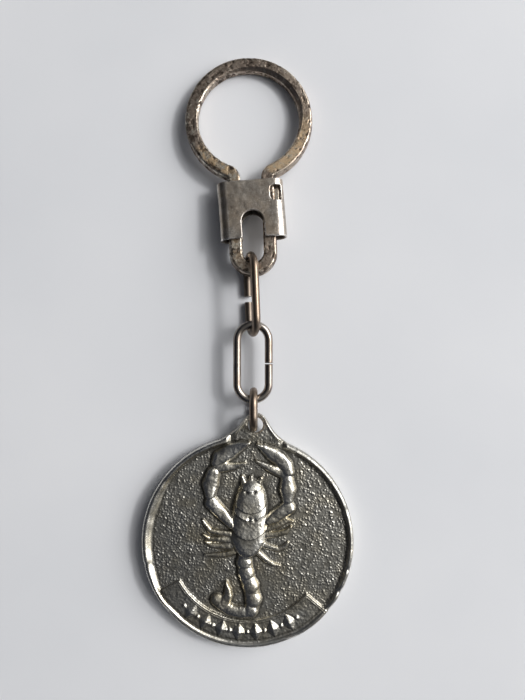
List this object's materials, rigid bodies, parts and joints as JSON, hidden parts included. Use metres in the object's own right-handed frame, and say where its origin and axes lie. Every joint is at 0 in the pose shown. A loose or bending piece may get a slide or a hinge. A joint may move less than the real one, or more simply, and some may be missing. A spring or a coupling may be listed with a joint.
{
  "type": "keychain",
  "caption": "Cast zodiac medal on a short oval-link chain with a spring key ring locked by a sliding sleeve.",
  "frame": {"origin": "centre of the medal's back face, on the surface the keychain lies on", "axes": "+Y from the medal up the chain to the key ring, +Z out of the decorated face, +X to the right"},
  "size_m": [0.04, 0.1117, 0.0072],
  "materials": {
    "medal_alloy": "aged pewter-coloured casting, dark in the hollows and polished on the high spots",
    "link_steel": "dark brown patina worn bright along the wire",
    "ring_steel": "brown patina with bright worn patches and silvery sides",
    "sleeve_steel": "dull nickel plating with bright edges"
  },
  "bodies": {
    "ring": {"ring_frame": "ring_steel"},
    "sleeve": {"lock_sleeve": "sleeve_steel"},
    "link_upper": {"upper_link": "link_steel"},
    "link_middle": {"middle_link": "link_steel"},
    "link_lower": {"lower_link": "link_steel"},
    "medal": {"medallion": "medal_alloy"}
  },
  "joints": [
    {"name": "sleeve_slide", "type": "slide", "parent": "ring", "child": "sleeve", "axis": [-0.0348, 0.9974, -0.0637], "range_m": [-0.0072, 0]},
    {"name": "upper_link_swing", "type": "hinge", "parent": "ring", "child": "link_upper", "pos_m": [0.00061, 0.05087, 0.00362], "axis": [-1, 0, 0], "range_deg": [0, 150]},
    {"name": "middle_link_swing", "type": "hinge", "parent": "link_upper", "child": "link_middle", "pos_m": [0.001, 0.03805, 0.0035], "axis": [0, 0, 1], "range_deg": [-120, 120]},
    {"name": "lower_link_swing", "type": "hinge", "parent": "link_middle", "child": "link_lower", "pos_m": [0.00113, 0.02596, 0.00331], "axis": [1, 0, 0], "range_deg": [-140, 0]},
    {"name": "medal_swing", "type": "hinge", "parent": "link_lower", "child": "medal", "pos_m": [0.00145, 0.0221, 0.0024], "axis": [0, 0, -1], "range_deg": [-80, 80]}
  ]
}
